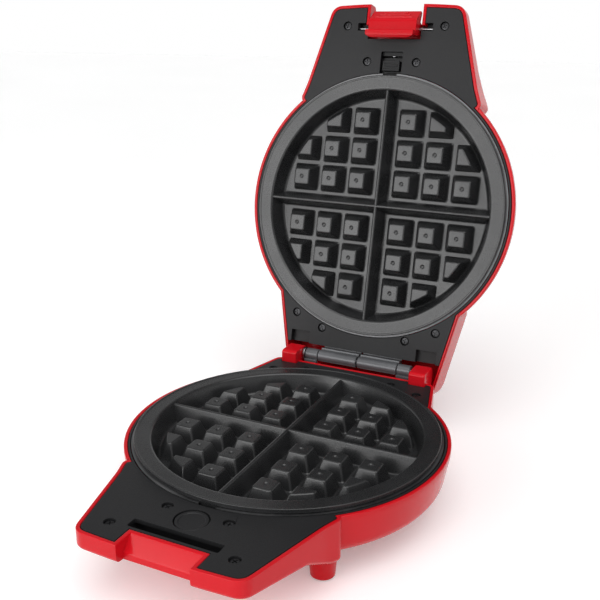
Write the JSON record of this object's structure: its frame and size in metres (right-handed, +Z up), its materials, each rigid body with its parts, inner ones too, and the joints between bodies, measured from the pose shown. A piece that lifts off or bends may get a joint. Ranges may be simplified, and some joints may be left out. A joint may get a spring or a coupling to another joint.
{
  "type": "waffle and donut maker",
  "caption": "Countertop waffle maker with a hinged lid, round non-stick grid plates, a sprung latch and plate releases, shown open.",
  "frame": {"origin": "centre of the bounding box, on the plane that the foot pads stand on", "axes": "+Z up, -Y towards the front with the handle, +X to the right"},
  "size_m": [0.202, 0.3372, 0.3011],
  "materials": {
    "red_plastic": "gloss moulded plastic",
    "black_plastic": "satin moulded plastic",
    "plate_coating": "satin non-stick coating on cast aluminium",
    "aluminium_sheet": "pressed sheet",
    "heater_sheath": "dark satin steel sheath",
    "ceramic": "unglazed ceramic",
    "lead_sleeve": "woven glass sleeve",
    "black_rubber": "matt",
    "barrel_paint": "satin dark grey",
    "steel": "plain steel",
    "black_screw": "blackened steel",
    "lamp_red": "clear tinted lens",
    "lamp_green": "clear tinted lens"
  },
  "bodies": {
    "lid": {"lid_shell": "red_plastic", "lid_panel": "black_plastic", "upper_waffle_plate": "plate_coating", "upper_reflector": "aluminium_sheet", "upper_heating_element": "heater_sheath", "lid_hinge_barrel_right": "barrel_paint", "lid_hinge_barrel_left": "barrel_paint", "upper_release_spring": "steel", "latch_pin": "steel", "latch_spring": "steel", "power_lamp_lens": "lamp_red", "ready_lamp_lens": "lamp_green", "lid_screw_front_outer_right": "black_screw", "lid_screw_front_outer_left": "black_screw", "lid_screw_front_inner_right": "black_screw", "lid_screw_front_inner_left": "black_screw", "lid_screw_rear_outer_right": "black_screw", "lid_screw_rear_outer_left": "black_screw", "lid_screw_rear_inner_right": "black_screw", "lid_screw_rear_inner_left": "black_screw"},
    "base": {"base_shell": "red_plastic", "base_panel": "black_plastic", "lower_waffle_plate": "plate_coating", "lower_reflector": "aluminium_sheet", "lower_heating_element": "heater_sheath", "thermostat": "ceramic", "thermal_fuse": "steel", "terminal_block": "ceramic", "block_lead": "lead_sleeve", "fuse_lead": "lead_sleeve", "cord_gland": "black_rubber", "foot_pad_front_left": "black_rubber", "foot_pad_front_right": "black_rubber", "foot_pad_rear_left": "black_rubber", "foot_pad_rear_right": "black_rubber", "hinge_pin": "steel", "base_hinge_knuckle_left": "barrel_paint", "base_hinge_knuckle_right": "barrel_paint", "lower_release_spring": "steel", "base_screw_front_outer_left": "black_screw", "base_screw_front_outer_right": "black_screw", "base_screw_front_inner_left": "black_screw", "base_screw_front_inner_right": "black_screw", "base_screw_rear_outer_left": "black_screw", "base_screw_rear_outer_right": "black_screw", "base_screw_rear_inner_left": "black_screw", "base_screw_rear_inner_right": "black_screw"},
    "latch": {"lid_latch": "red_plastic"},
    "slider": {"upper_release_slider": "black_plastic"},
    "button": {"lower_release_button": "black_plastic"},
    "catch": {"lower_plate_catch": "steel"}
  },
  "joints": [
    {"name": "lid_hinge", "type": "hinge", "parent": "base", "child": "lid", "pos_m": [0, 0.09376, 0.04625], "axis": [-1, 0, 0], "range_deg": [-103, 0]},
    {"name": "latch_rock", "type": "hinge", "parent": "lid", "child": "latch", "pos_m": [0, 0.15617, 0.28349], "axis": [-1, 0, 0], "range_deg": [0, 15], "stiffness_Nm_per_rad": 0.4, "springref_deg": -11.46, "deforming": ["latch_spring"]},
    {"name": "slider_slide", "type": "slide", "parent": "lid", "child": "slider", "axis": [0, 0.225, 0.9744], "range_m": [0, 0.0035], "stiffness_N_per_m": 300, "springref_m": -0.004, "deforming": ["upper_release_spring"]},
    {"name": "button_press", "type": "slide", "parent": "base", "child": "button", "axis": [0, 0, -1], "range_m": [0, 0.0022], "stiffness_N_per_m": 300, "springref_m": -0.004, "deforming": ["lower_release_spring"]},
    {"name": "catch_slide", "type": "slide", "parent": "base", "child": "catch", "axis": [0, -1, 0], "range_m": [0, 0.0022]}
  ],
  "couplings": [
    {"joint": "catch_slide", "follows": "button_press", "ratio": 1}
  ]
}
